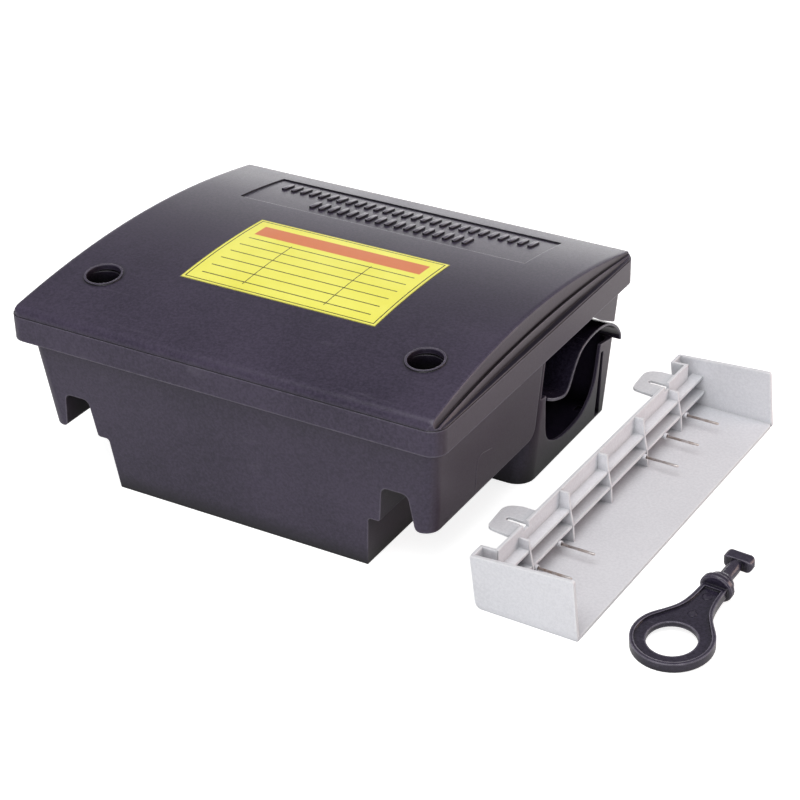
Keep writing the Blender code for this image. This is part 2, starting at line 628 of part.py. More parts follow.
def tray_body(frame):
    """The moulded tray: floor, ends, ribbed back, ledge, tabs and pin bosses."""
    length = TRAY_LENGTH
    floor = rounded([(4 * MM, 0.2 * MM, 0), (TRAY_WIDTH, 0.2 * MM, 1.0 * MM),
                     (TRAY_WIDTH, length - 0.2 * MM, 5 * MM), (4 * MM, length - 0.2 * MM, 0)])
    tray = plate("bait_tray", floor, 0.0, TRAY_WALL)
    join(tray, tray_end("near_end", 0.0, TRAY_WALL + 0.3 * MM),
         tray_end("far_end", length - TRAY_WALL - 0.3 * MM, length))
    join(tray, box("tray_back", (6.3 * MM, 8.1 * MM), (10.4 * MM, length - 10.4 * MM),
                   (0.3 * MM, TRAY_BACK)))
    corner = scaled([(0.8, 0.5), (2.6, 0.5), (-1.0, 31.1), (-2.8, 31.1)])
    jog = scaled([(0.8, 0.4), (7.6, 0.4), (7.6, 31.5), (-2.7, 31.0)])
    for name, start, turn in (("near", 0.0, 1), ("far", length, -1)):
        spans = [sorted(start + turn * a * MM for a in pair) for pair in ((1.0, 11.4), (10.0, 11.8))]
        join(tray, plate(name + "_return", corner, *spans[0], "XZ"),
             plate(name + "_jog", jog, *spans[1], "XZ"))
    inside = (1.5 * MM, length - 1.5 * MM)
    join(tray, box("tray_ledge", (7.2 * MM, 14.3 * MM), inside, (TRAY_LEDGE - 1.6 * MM, TRAY_LEDGE)),
         box("tray_shelf", (7.2 * MM, 16.3 * MM), inside, (TRAY_SHELF - 1.5 * MM, TRAY_SHELF)))
    slope = [(17.5, 0.7), (17.4, 2.2), (16.6, 12.4), (14.6, 21.7)]
    low_top, high_top = [(13.9, 27.3), (7.0, 27.3)], [(13.5, 31.7), (7.0, 31.7)]
    for number, w in enumerate(CROSS_RIBS, start=1):
        top = low_top if number in (1, len(CROSS_RIBS)) else high_top
        rib = scaled([(7.0, 0.7), *slope, *top])
        join(tray, plate(f"cross_rib_{number}", rib, w - 0.7 * MM, w + 0.7 * MM, "XZ"))
    for name, middle in (("near", 41.0 * MM), ("far", length - 38.0 * MM)):
        tray_tab(tray, name, middle)
    for number, w in enumerate(PIN_PLACES, start=1):
        join(tray, cylinder(f"boss_{number}", (w, PIN_Z), 1.8 * MM, 7.0 * MM, 17.9 * MM, "X", 16))
        cut(tray, cylinder(f"boss_bore_{number}", (w, PIN_Z), PIN_RADIUS + GAP,
                           PIN_REACH[0] - GAP, 30 * MM, "X", 12))
    return finish(tray, GREY_TRAY, parent=frame)


def tray_tab(tray, name, middle):
    """A flat tab just under the top of the back; its hooked slot notches the back."""
    low, high = 28.8 * MM, 30.4 * MM
    tab = rounded([(7.4 * MM, middle - 14 * MM, 0), (-9.5 * MM, middle - 12 * MM, 4 * MM),
                   (-11.4 * MM, middle + 11 * MM, 7 * MM), (-2.0 * MM, middle + 14 * MM, 3 * MM),
                   (7.4 * MM, middle + 14 * MM, 0)])
    slot = rounded([(-4.4 * MM, middle - 1.6 * MM, 1.2 * MM), (5.0 * MM, middle - 1.6 * MM, 0.8 * MM),
                    (5.0 * MM, middle - 4.0 * MM, 0.6 * MM), (9.4 * MM, middle - 4.0 * MM, 0),
                    (9.4 * MM, middle + 1.6 * MM, 0), (-4.4 * MM, middle + 1.6 * MM, 1.2 * MM)])
    join(tray, plate(name + "_tab", tab, low, high))
    cut(tray, plate(name + "_tab_slot", slot, low - 0.6 * MM, TRAY_BACK + 1 * MM))


def build_tray():
    frame = new_frame("tray_frame", TRAY_PLACE, (0.0, 0.0, TRAY_TURN))
    tray_body(frame)
    for number, w in enumerate(PIN_PLACES, start=1):
        pin = cylinder(f"tray_pin_{number}", (w, PIN_Z), PIN_RADIUS, *PIN_REACH, "X", 12)
        finish(pin, STEEL, (PIN_REACH[0], w, PIN_Z), frame)


def key_outline(inset=0.0):
    """The handle in plan: a round bow that narrows through two hollow curves to the collar."""
    bow = arc((0, 0), KEY_RING - inset, 142, 398, 32)
    flank = [(12.6 * MM - inset, 19.6 * MM), (9.6 * MM - inset, 25.0 * MM),
             (7.9 * MM - inset, 31.5 * MM), (7.1 * MM - inset, 39.0 * MM)]
    right = [Vector(bow[-1]), *map(Vector, flank), Vector((6.8 * MM - inset, KEY_COLLAR_Y))]
    line = [tuple(point) for point in smooth_route(right, 3)][1:]
    return bow + line + [(-a, b) for a, b in reversed(line)]


def build_key():
    collar_half = KEY_COLLAR * KEY_COLLAR_STRETCH[2]
    rest = math.asin((collar_half - KEY_THICKNESS / 2) / (KEY_COLLAR_Y + KEY_RING))
    lift = KEY_THICKNESS / 2 + KEY_RING * math.sin(rest) + 0.05 * MM
    place = KEY_PLACE + Vector((0.0, 0.0, lift))
    frame = new_frame("key_frame", place, (rest, 0.0, KEY_TURN))
    half = KEY_THICKNESS / 2
    hole = arc((0, -0.8 * MM), KEY_HOLE, 0, 360, 40)[:-1]
    key = plate("key", [key_outline(), hole], -half, half)
    web = [(a, min(b, KEY_COLLAR_Y - 4.5 * MM)) for a, b in key_outline(2.2 * MM)]
    cut(key, plate("web_top", web, half - 1.2 * MM, half + 1 * MM),
        plate("web_foot", web, -half - 1 * MM, -half + 0.9 * MM))
    join(key, turned_shank(), key_head())
    finish(key, GLOSS_BLACK, parent=frame)


def key_head():
    """The cross-bar at the end of the shank, rounded in plan and in front view."""
    (left, right), (low, high), (bottom, top) = (scaled([pair])[0] for pair in KEY_HEAD)
    views = []
    for a, b, name, plane in ((low, high, "key_head", "XY"), (bottom, top, "key_head_front", "XZ")):
        outline = rounded([(left, a, 2.9 * MM), (right, a, 2.9 * MM), (right, b, 3.2 * MM),
                           (left, b, 3.2 * MM)], 5)
        span = (bottom, top) if plane == "XY" else (low - 1 * MM, high + 1 * MM)
        views.append(plate(name, outline, *span, plane))
    combine(views[0], "INTERSECT", views[1:])
    return views[0]


def turned_shank():
    """The round collar and the thin shank, turned about the key's long axis."""
    profile = scaled([(0.0, 73.0), (2.9, 73.0), (3.7, 66.0), (3.7, 57.4), (4.8, 55.0), (6.6, 53.8),
                      (7.0, 51.4), (8.0, 50.6), (8.8, 49.6), (8.8, 47.1), (8.0, 46.3), (6.0, 45.9),
                      (0.0, 45.9)])
    mesh = bpy.data.meshes.new("key_shank")
    edges = [(k, k + 1) for k in range(len(profile) - 1)]
    mesh.from_pydata([(radius, 0.0, y) for radius, y in profile], edges, [])
    shank = new_object("key_shank", mesh)
    screw = shank.modifiers.new("turn", "SCREW")
    screw.steps = screw.render_steps = 24
    screw.use_merge_vertices = True
    screw.merge_threshold = 0.01 * MM
    screw.use_smooth_shade = True
    graph = bpy.context.evaluated_depsgraph_get()
    solid = bpy.data.meshes.new_from_object(shank.evaluated_get(graph))
    bpy.data.objects.remove(shank)
    solid.transform(Matrix.Rotation(-math.pi / 2, 4, "X"))
    solid.transform(Matrix.Diagonal((*KEY_COLLAR_STRETCH, 1.0)))
    return new_object("key_shank", solid)


def new_frame(name, place, turn):
    """An empty that carries a loose part's own axes."""
    frame = bpy.data.objects.new(name, None)
    PARTS.objects.link(frame)
    frame.location = place
    frame.rotation_euler = turn
    frame.empty_display_size = 10 * MM
    return frame


def place_tools_on(frame):
    """Put the cutters of a loose part in the same frame as the part."""
    waiting = list(frame.children)
    while waiting:
        for modifier in waiting.pop().modifiers:
            if modifier.type == "BOOLEAN":
                modifier.object.parent = frame
                waiting.append(modifier.object)


BLACK_PLASTIC = ((0.040, 0.036, 0.048), 0.42)
GLOSS_BLACK = ((0.022, 0.020, 0.028), 0.30)
GREY_PLASTIC = ((0.030, 0.028, 0.034), 0.50)
GREY_TRAY = ((0.66, 0.65, 0.67), 0.45)
YELLOW_FILM = ((0.95, 0.86, 0.10), 0.35)
STEEL = ((0.45, 0.42, 0.40), 0.32, 1.0)

clear_scene()
PARTS = new_collection("bait_station")
CUTTERS = new_collection("cutters")
build_base()
build_hoods()
build_hinge_pins()
build_lid()
build_label()
for lock_name, lock_side in SIDES:
    build_lock(lock_name, lock_side)
build_tray()
build_key()
for loose_frame in [item for item in PARTS.objects if item.type == "EMPTY"]:
    place_tools_on(loose_frame)
bpy.context.view_layer.update()
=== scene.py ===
import json
import math

import bmesh
import bpy
from mathutils import Matrix, Vector
from mathutils.bvhtree import BVHTree


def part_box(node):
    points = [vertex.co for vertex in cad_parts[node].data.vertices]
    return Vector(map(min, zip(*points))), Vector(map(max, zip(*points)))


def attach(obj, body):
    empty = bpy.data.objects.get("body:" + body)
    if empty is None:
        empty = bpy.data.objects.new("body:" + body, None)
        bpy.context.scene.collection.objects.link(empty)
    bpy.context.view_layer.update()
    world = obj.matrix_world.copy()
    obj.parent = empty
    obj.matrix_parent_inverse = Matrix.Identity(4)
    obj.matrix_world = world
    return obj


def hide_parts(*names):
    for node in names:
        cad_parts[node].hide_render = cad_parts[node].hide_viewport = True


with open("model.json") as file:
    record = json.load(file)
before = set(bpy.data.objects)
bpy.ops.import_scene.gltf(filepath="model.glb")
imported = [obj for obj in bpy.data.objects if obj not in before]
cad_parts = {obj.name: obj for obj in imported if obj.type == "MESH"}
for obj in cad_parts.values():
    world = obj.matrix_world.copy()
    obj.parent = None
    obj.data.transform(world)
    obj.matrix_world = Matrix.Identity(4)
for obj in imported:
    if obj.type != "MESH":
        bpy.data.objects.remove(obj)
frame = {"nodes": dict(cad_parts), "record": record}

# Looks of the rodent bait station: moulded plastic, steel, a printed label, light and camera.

MM = 0.001
UP = Vector((0.0, 0.0, 1.0))
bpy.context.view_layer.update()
NODES = frame["nodes"]
BODY_OF = {node: body for body, members in frame["record"]["behaviour"]["bodies"].items()
           for node in members}
SLOT_OF = {entry["node"]: entry["material_slot"] for entry in frame["record"]["subparts"]}

# Camera.
CAMERA_PLACE = (0.5762, -0.8842, 0.6319)
CAMERA_TILT = math.radians(60.18)
CAMERA_TURN = math.radians(28.52)
CAMERA_LENS = 94.74
CAMERA_SHIFT = -0.1008
CAMERA_SENSOR = 36.0

# Light: each lamp's name, place, target, size in metres, power in watts and colour.
WHITE = (1.0, 1.0, 1.0)
LAMPS = (
    ("overhead_softbox", (0.25, -0.75, 1.7), (0.05, 0.0, 0.05), (1.5, 1.2), 22.0, WHITE),
    ("front_fill", (0.5, -1.7, 0.35), (0.1, 0.0, 0.05), (1.2, 0.5), 6.0, WHITE),
    ("low_background", (-0.9, 2.2, 0.25), (0.0, 0.0, 0.1), (3.4, 0.5), 16.0, WHITE),
    ("side_softbox", (0.9, 0.45, 0.30), (0.13, 0.06, 0.08), (0.5, 0.4), 2.4, (1.0, 0.74, 0.66)),
)
ROOM_COLOUR = (1.0, 0.99, 1.0)
ROOM_STRENGTH = 0.38

# Floor: half its side, how far it lies under the object, and a glow that grows towards the rear.
FLOOR_HALF = 6.0
FLOOR_DROP = 0.2 * MM
GLOW_FROM, GLOW_TO = 0.05, 0.5
GLOW_WEAK, GLOW_STRONG = 0.08, 0.9
GLOW_SEEN = 0.8

# Softened edges of the moulded parts.
SOFT_EDGES = {"base_shell": 0.7 * MM, "lid_shell": 0.9 * MM, "bait_tray": 0.3 * MM, "key": 0.6 * MM,
              "left_entry_hood": 0.3 * MM, "right_entry_hood": 0.3 * MM}
SOFT_FROM = math.radians(33)
FLAT_WITHIN = math.radians(0.5)
SAME_POINT = 0.01 * MM

# Raised ribs in the lid's rear panel: rows of (y, count), then the size of one rib.
RIB_ROWS = ((86.0 * MM, 27), (66.5 * MM, 17))
RIB_PITCH = 6.4 * MM
RIB_SIZE = (3.0 * MM, 11.5 * MM)
RIB_RISE = 1.0 * MM
RIB_CORNER = 1.2 * MM
RIB_SOFT_EDGE = 0.25 * MM
RIB_SOFT_FROM = math.radians(40)

# Round marks in the key's web: (x, y, radius) of each, then (share of the radius, height) of one.
EJECTOR_MARKS = ((254.3 * MM, -67.2 * MM, 2.4 * MM), (255.7 * MM, -51.5 * MM, 2.7 * MM))
MARK_PROFILE = ((1.0, -0.2 * MM), (1.0, 0.14 * MM), (0.82, 0.16 * MM), (0.72, 0.02 * MM))
MARK_SIDES = 24

# Path, from front to rear, of the mould line on each end wall, as (y, z).
LINE_PATH = [(y * MM, z * MM) for y, z in ((-56.0, 34.0), (-57.3, 52.0), (-56.9, 55.2), (-55.2, 57.0),
                                           (-52.3, 57.3), (-46.9, 55.9), (-41.0, 54.6))]
LINE_WIDTH = 0.7 * MM
LINE_RISE = 0.15 * MM
# The end walls lean outwards by the draft.
BASE_FOOT_HALF = 119.4 * MM
BASE_DRAFT = 0.1

# Half the outline of a tray pin: (share of its radius, share of its length).
PIN_PROFILE = ((0.0, 0.0), (1.0, 0.0), (1.0, 0.94), (0.92, 0.975), (0.55, 1.0), (0.0, 1.0))
PIN_SIDES = 14

# Label: insets from its sides or its front and rear edges, and the places of its printed lines.
LABEL_MARGIN = 8.0 * MM
LABEL_PAGE = (7.0 * MM, 24.0 * MM)
LABEL_BAND = (20.0 * MM, 8.0 * MM)
LABEL_BORDER = (1.6 * MM, 2.3 * MM)
LABEL_RIM = 0.5 * MM
RULE_SPACING = 9.2 * MM
RULE_HALF = 0.40 * MM
COLUMN_PLACE = 26.0 * MM
COLUMN_HALF = 0.28 * MM

# Reach of the rounding and of the paler edges, partly rubbed and partly a painted highlight, and the
# cosines at which the paleness starts and is full.
ROUNDING = 0.8 * MM
EDGE_RUB_AND_HIGHLIGHT = 1.6 * MM
PALE_EDGE_COSINES = (0.995, 0.93)
SHADING_SAMPLES = 6

# The plastic's noises, in features a metre.
CLOUD_SCALE = 14.0
RIPPLE_SCALE = 22.0
SCUFF_SCALE = 38.0
PATCH_SCALE = 160.0
SPECKLE_SCALE = 620.0
FLECK_SCALE = 1700.0
SCUFF_STRETCH = (1.0, 7.0, 2.0)

# Reach of the plastic's hollows: wide ones, dips and creases, which get painted shade, and those that
# shelter an edge from its paleness.
DEEP_SHADE_REACH = 60.0 * MM
VALLEY_SHADE_REACH = 13.0 * MM
CREVICE_SHADE_REACH = 4.0 * MM
SHELTER_REACH = 3.0 * MM


class Nodes:
    """A material's node tree, with short calls to add nodes and link them."""

    def __init__(self, name):
        self.material = bpy.data.materials.new(name)
        self.material.use_nodes = True
        self.tree = self.material.node_tree
        self.shader = self.tree.nodes["Principled BSDF"]

    def add(self, kind, settings=None, **inputs):
        """A new shader node; in an input's name _ stands for a space."""
        node = self.tree.nodes.new("ShaderNode" + kind)
        for key, value in (settings or {}).items():
            setattr(node, key, value)
        for key, value in inputs.items():
            self.put(node.inputs[key.replace("_", " ")], value)
        return node

    def put(self, socket, value):
        """Link a socket to another one, or set its own value."""
        if isinstance(value, bpy.types.NodeSocket):
            self.tree.links.new(value, socket)
        else:
            socket.default_value = value

    def set(self, **inputs):
        """Set the shader's inputs and return the finished material."""
        for key, value in inputs.items():
            self.put(self.shader.inputs[key.replace("_", " ")], value)
        return self.material

    def place(self, stretch=(1.0, 1.0, 1.0)):
        """Coordinates fixed to the object, in metres, stretched along each axis."""
        spot = self.add("TexCoord").outputs["Object"]
        if stretch == (1.0, 1.0, 1.0):
            return spot
        return self.add("Mapping", Vector=spot, Scale=stretch).outputs["Vector"]

    def noise(self, scale, detail=3.0, roughness=0.55, stretch=(1.0, 1.0, 1.0)):
        node = self.add("TexNoise", Vector=self.place(stretch), Scale=scale, Detail=detail,
                        Roughness=roughness)
        return node.outputs["Fac"]

    def spread(self, value, low, high, to_low=0.0, to_high=1.0):
        """A value's range from low to high, carried over to another range and held within it."""
        node = self.add("MapRange", Value=value, From_Min=low, From_Max=high, To_Min=to_low,
                        To_Max=to_high)
        return node.outputs["Result"]

    def calc(self, operation, a, b=0.0):
        node = self.add("Math", {"operation": operation})
        self.put(node.inputs[0], a)
        self.put(node.inputs[1], b)
        return node.outputs[0]

    def times(self, a, b):
        return self.calc("MULTIPLY", a, b)

    def between(self, value, low, high):
        """1 where a value lies between two limits, 0 elsewhere."""
        return self.times(self.calc("GREATER_THAN", value, low), self.calc("LESS_THAN", value, high))

    def mix(self, share, a, b, blend="MIX"):
        """Colour a, turning to b as the share goes from 0 to 1."""
        node = self.add("Mix", {"data_type": "RGBA", "blend_type": blend})
        factor, first, second = node.inputs[0], node.inputs[6], node.inputs[7]
        self.put(factor, share)
        self.put(first, (*a, 1.0) if isinstance(a, tuple) else a)
        self.put(second, (*b, 1.0) if isinstance(b, tuple) else b)
        return node.outputs[2]

    def grey(self, value):
        return self.add("CombineColor", Red=value, Green=value, Blue=value).outputs["Color"]

    def rounded_normal(self, radius):
        """Surface normals that turn smoothly over each edge."""
        return self.add("Bevel", {"samples": SHADING_SAMPLES}, Radius=radius).outputs["Normal"]

    def edges(self, radius):
        """1 on edges and corners, 0 on flat faces."""
        dot = self.add("VectorMath", {"operation": "DOT_PRODUCT"})
        self.put(dot.inputs[0], self.rounded_normal(radius))
        self.put(dot.inputs[1], self.add("NewGeometry").outputs["True Normal"])
        return self.spread(dot.outputs["Value"], *PALE_EDGE_COSINES)

    def hollow(self, reach, low, high, deepest=0.0):
        """The deepest value inside a hollow, 1 in the open."""
        open_share = self.add("AmbientOcclusion", {"samples": SHADING_SAMPLES}, Distance=reach)
        return self.spread(open_share.outputs["AO"], low, high, deepest, 1.0)

    def bump(self, height, depth, strength, normal=None):
        node = self.add("Bump", Height=height, Distance=depth, Strength=strength)
        if normal is not None:
            self.put(node.inputs["Normal"], normal)
        return node.outputs["Normal"]


def moulded_plastic(name, dark, light, rubbed_and_lit, roughness, grain=0.05 * MM, scuffs=0.5, deep_shade=1.0,
                    crevice_shade=1.0, valley_shade=1.0, rub_and_highlight=0.75, end_tint=None):
    """Grained moulded plastic: faint clouding, fine grain, scuffs, a warmer tint on the end walls, paler
    edges that are partly rubbed and partly a painted highlight, and painted shade in hollows.

    The three shade arguments, for wide hollows, dips and creases, say how much of the colour each keeps
    under the painted shade.
    """
    n = Nodes(name)
    cloud = n.noise(CLOUD_SCALE, 4.0)
    fleck = n.noise(FLECK_SCALE, 2.0)
    speckle = n.noise(SPECKLE_SCALE, 4.0, 0.7)
    scuff = n.spread(n.noise(SCUFF_SCALE, 6.0, 0.7, SCUFF_STRETCH), 0.60, 0.78, 0.0, scuffs)

    paleness = n.calc("ADD", n.spread(cloud, 0.35, 0.65, 0.0, 0.45),
                      n.spread(speckle, 0.38, 0.64, 0.0, 0.75))
    colour = n.mix(paleness, dark, light)
    # A warmer tint on the faces that turn towards the ends, stronger the more they turn.
    if end_tint:
        facing = n.add("SeparateXYZ", Vector=n.add("NewGeometry").outputs["Normal"]).outputs["X"]
        on_ends = n.spread(n.calc("ABSOLUTE", facing), 0.55, 0.95, 0.0, 0.55)
        colour = n.mix(on_ends, colour, end_tint)
    colour = n.mix(n.times(scuff, 0.35), colour, rubbed_and_lit)

    # Paler edges: partly rubbed plastic and partly a painted highlight where light catches them; edges
    # in hollows stay less pale.
    patchy = n.spread(n.noise(PATCH_SCALE, 4.0), 0.30, 0.72, 0.45, 1.0)
    edge = n.times(n.times(n.edges(EDGE_RUB_AND_HIGHLIGHT), patchy), n.hollow(SHELTER_REACH, 0.80, 0.97))
    colour = n.mix(n.times(edge, rub_and_highlight), colour, rubbed_and_lit)

    # Painted shade: the colour darkens in wide hollows, creases and dips, where shade falls.
    shade = n.times(n.hollow(DEEP_SHADE_REACH, 0.12, 0.5, deep_shade), n.hollow(CREVICE_SHADE_REACH, 0.45, 0.95, crevice_shade))
    if valley_shade < 1.0:
        shade = n.times(shade, n.hollow(VALLEY_SHADE_REACH, 0.62, 0.94, valley_shade))
    colour = n.mix(1.0, colour, n.grey(shade), "MULTIPLY")

    rough = n.spread(fleck, 0.25, 0.75, roughness - 0.05, roughness + 0.06)
    rough = n.calc("ADD", rough, n.times(scuff, 0.16))
    rough = n.calc("ADD", rough, n.spread(cloud, 0.3, 0.7, -0.03, 0.03))
    normal = n.bump(fleck, grain, 0.35, n.rounded_normal(ROUNDING))
    rippled = n.bump(n.noise(RIPPLE_SCALE, 1.0), 0.35 * MM, 0.10, normal)
    return n.set(Base_Color=colour, Roughness=rough, Normal=rippled)


def steel_wire(name, bright, tarnish, roughness):
    """Drawn steel wire with fine lengthwise lines and brown tarnish."""
    n = Nodes(name)
    stain = n.spread(n.noise(260.0, 5.0, 0.6), 0.42, 0.68)
    lines = n.noise(900.0, 3.0, 0.5, (0.05, 1.0, 1.0))
    rough = n.calc("ADD", n.spread(stain, 0.0, 1.0, roughness, roughness + 0.25),
                   n.spread(lines, 0.3, 0.7, -0.05, 0.05))
    return n.set(Base_Color=n.mix(stain, bright, tarnish), Metallic=1.0, Roughness=rough,
                 Normal=n.bump(lines, 0.02 * MM, 0.5))


def label_print(name, low, high):
    """A yellow film printed with a plain border, a band and blank ruled lines."""
    n = Nodes(name)
    spot = n.add("SeparateXYZ", Vector=n.place())
    x, y = spot.outputs["X"], spot.outputs["Y"]
    across = n.calc("ABSOLUTE", x)
    along = n.calc("ABSOLUTE", n.calc("SUBTRACT", y, (low.y + high.y) / 2))

    def below(value, limit):
        return n.calc("LESS_THAN", value, limit)

    def within_edges(inset):
        return n.times(below(across, high.x - inset), below(along, (high.y - low.y) / 2 - inset))

    def field(front, rear):
        return n.times(below(across, high.x - LABEL_MARGIN), n.between(y, front, rear))

    border_outer, border_inner = LABEL_BORDER
    border = n.calc("SUBTRACT", within_edges(border_outer), within_edges(border_inner))
    page = field(low.y + LABEL_PAGE[0], high.y - LABEL_PAGE[1])
    band = field(high.y - LABEL_BAND[0], high.y - LABEL_BAND[1])
    from_row = n.calc("PINGPONG", n.calc("SUBTRACT", y, low.y), RULE_SPACING / 2)
    from_column = n.calc("ABSOLUTE", n.calc("SUBTRACT", across, COLUMN_PLACE))
    lines = n.times(n.calc("MAXIMUM", below(from_row, RULE_HALF), below(from_column, COLUMN_HALF)), page)

    fade = n.spread(n.noise(30.0, 4.0), 0.3, 0.7)
    colour = n.mix(fade, (0.90, 0.86, 0.11), (0.96, 0.93, 0.17))
    colour = n.mix(n.times(band, 0.92), colour, (0.72, 0.16, 0.08))
    patchy = n.spread(n.noise(420.0, 3.0), 0.2, 0.5, 0.75, 0.97)
    colour = n.mix(n.times(n.calc("MAXIMUM", lines, border), patchy), colour, (0.035, 0.03, 0.02))
    rim = n.calc("SUBTRACT", 1.0, within_edges(LABEL_RIM))
    colour = n.mix(n.times(rim, 0.55), colour, (0.30, 0.27, 0.10))
    crease = n.noise(55.0, 3.0)
    return n.set(Base_Color=colour, Roughness=n.spread(crease, 0.3, 0.7, 0.36, 0.50),
                 Normal=n.bump(crease, 0.3 * MM, 0.12))


def floor_surface(name):
    """White to the camera, a plain pale floor to everything that stands on it."""
    n = Nodes(name)
    shade = n.spread(n.noise(3.0, 2.0), 0.3, 0.7, 0.66, 0.68)
    depth = n.add("SeparateXYZ", Vector=n.place()).outputs["Y"]
    glow = n.spread(depth, GLOW_FROM, GLOW_TO, GLOW_WEAK, GLOW_STRONG)
    seen = n.add("LightPath").outputs["Is Camera Ray"]
    return n.set(Base_Color=n.grey(shade), Specular_IOR_Level=0.1, Emission_Color=(*WHITE, 1.0),
                 Emission_Strength=n.calc("MAXIMUM", glow, n.times(seen, GLOW_SEEN)),
                 Roughness=n.spread(n.noise(40.0), 0.3, 0.7, 0.75, 0.85))


def finishes():
    """One material for each of the record's material slots."""
    return {
        "black_plastic": moulded_plastic(
            "black_moulding", (0.016, 0.011, 0.028), (0.048, 0.036, 0.068), (0.20, 0.18, 0.23), 0.37,
            deep_shade=0.03, crevice_shade=0.25, valley_shade=0.3, rub_and_highlight=0.62, end_tint=(0.038, 0.024, 0.030)),
        # The key's strong pale edges are mostly a painted highlight on its rims.
        "gloss_black": moulded_plastic(
            "gloss_moulding", (0.013, 0.010, 0.022), (0.034, 0.028, 0.050), (0.26, 0.24, 0.30), 0.18,
            0.004 * MM, 0.8, deep_shade=0.15, crevice_shade=0.3, rub_and_highlight=0.9),
        # The barrels are near black: partly their own dark colour, partly painted shade for the
        # keyholes' dark insides.
        "dark_grey_plastic": moulded_plastic(
            "dark_moulding", (0.008, 0.007, 0.010), (0.016, 0.014, 0.019), (0.07, 0.07, 0.08), 0.5,
            deep_shade=0.2),
        "grey_plastic": moulded_plastic(
            "grey_moulding", (0.65, 0.655, 0.69), (0.75, 0.755, 0.79), (0.93, 0.93, 0.95), 0.42,
            0.03 * MM, 0.35, deep_shade=0.75, crevice_shade=0.82),
        "yellow_film": label_print("label_print", *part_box("label_sticker")),
        "steel": steel_wire("steel_wire", (0.68, 0.64, 0.62), (0.44, 0.35, 0.30), 0.36),
    }


def mesh_of(work, name, smooth=True):
    """A finished mesh from a working one, which is freed."""
    mesh = bpy.data.meshes.new(name)
    work.to_mesh(mesh)
    work.free()
    if smooth:
        mesh.shade_smooth()
    return mesh


def new_piece(mesh, node_like, finish=None, replaced=()):
    """A visible piece, named as its mesh, that rides with a CAD node's body in the node's slot."""
    piece = bpy.data.objects.new(mesh.name, mesh)
    bpy.context.scene.collection.objects.link(piece)
    mesh.materials.append(finish or FINISHES[SLOT_OF[node_like]])
    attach(piece, BODY_OF[node_like])
    if replaced:
        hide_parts(*replaced)
    return piece


def add_bevel(piece, width, from_angle):
    """Rounded edges wherever two faces meet at more than an angle."""
    bevel = piece.modifiers.new("soft_edges", "BEVEL")
    bevel.width = width
    bevel.segments = 2
    bevel.limit_method = "ANGLE"
    bevel.angle_limit = from_angle
    return bevel


def upright_to(direction):
    """The turn that takes +Z to a direction."""
    return UP.rotation_difference(direction).to_matrix().to_4x4()


def surface_finder(node):
    """A function that gives the top of a CAD node, and its normal, over a point."""
    work = bmesh.new()
    work.from_mesh(NODES[node].data)
    tree = BVHTree.FromBMesh(work)
    work.free()
    return lambda x, y: tree.ray_cast(Vector((x, y, 1.0)), -UP)[:2]


def softened(node, width):
    """A copy of a CAD node with rounded edges and evened normals."""
    work = bmesh.new()
    work.from_mesh(NODES[node].data)
    bmesh.ops.remove_doubles(work, verts=work.verts, dist=SAME_POINT)
    bmesh.ops.dissolve_limit(work, angle_limit=FLAT_WITHIN, verts=work.verts, edges=work.edges)
    bmesh.ops.recalc_face_normals(work, faces=work.faces)
    piece = new_piece(mesh_of(work, node + "_moulded"), node, replaced=[node])
    add_bevel(piece, width, SOFT_FROM).miter_outer = "MITER_ARC"
    piece.modifiers.new("even_normals", "WEIGHTED_NORMAL").keep_sharp = True


def add_rib(work, place):
    """One block with rounded corners, half sunk in the surface that it stands on."""
    rib = bmesh.ops.create_cube(work, size=1.0)["verts"]
    bmesh.ops.scale(work, vec=(*RIB_SIZE, 2 * RIB_RISE), verts=rib)
    upright = [edge for edge in dict.fromkeys(edge for vert in rib for edge in vert.link_edges)
               if abs(edge.verts[0].co.z - edge.verts[1].co.z) > RIB_RISE]
    corners = bmesh.ops.bevel(work, geom=upright, offset=RIB_CORNER, segments=4, profile=0.5,
                              affect="EDGES")["verts"]
    whole = dict.fromkeys([vert for vert in rib if vert.is_valid] + corners)
    bmesh.ops.transform(work, matrix=place, verts=list(whole))


def rear_ribs():
    """Two rows of plain raised ribs in the lid's rear panel."""
    top_of = surface_finder("lid_shell")
    work = bmesh.new()
    for y, count in RIB_ROWS:
        for index in range(count):
            spot, normal = top_of((index - (count - 1) / 2) * RIB_PITCH, y)
            add_rib(work, Matrix.Translation(spot) @ upright_to(normal))
    add_bevel(new_piece(mesh_of(work, "rear_panel_ribs"), "lid_shell"), RIB_SOFT_EDGE, RIB_SOFT_FROM)


def line_ring(work, side, index):
    """The four corners of the mould line's section at one point of its path."""
    y, z = LINE_PATH[index]
    before = LINE_PATH[max(index - 1, 0)]
    after = LINE_PATH[min(index + 1, len(LINE_PATH) - 1)]
    along = Vector((0.0, after[0] - before[0], after[1] - before[1])).normalized()
    across = along.cross(Vector((1.0, 0.0, 0.0))) * LINE_WIDTH
    spot = Vector((side * (BASE_FOOT_HALF + BASE_DRAFT * z), y, z))
    rise = Vector((side * LINE_RISE, 0.0, 0.0))
    return [work.verts.new(spot + rise * out + across * share)
            for out, share in ((-1.0, -0.5), (1.0, -0.25), (1.0, 0.25), (-1.0, 0.5))]


def mould_lines():
    """The faint raised line that the mould's insert leaves on both end walls of the base."""
    work = bmesh.new()
    for side in (-1, 1):
        rings = [line_ring(work, side, index) for index in range(len(LINE_PATH))]
        for lower, upper in zip(rings, rings[1:]):
            for k in range(len(lower)):
                work.faces.new((lower[k - 1], upper[k - 1], upper[k], lower[k]))
        work.faces.new(rings[0])
        work.faces.new(rings[-1][::-1])
    bmesh.ops.recalc_face_normals(work, faces=work.faces)
    # The line's plastic is paler than the walls: a painted highlight along the ridge.
    finish = moulded_plastic("mould_line_highlight", (0.05, 0.04, 0.055), (0.10, 0.085, 0.11),
                             (0.20, 0.18, 0.23), 0.4)
    new_piece(mesh_of(work, "end_wall_mould_lines", smooth=False), "base_shell", finish)


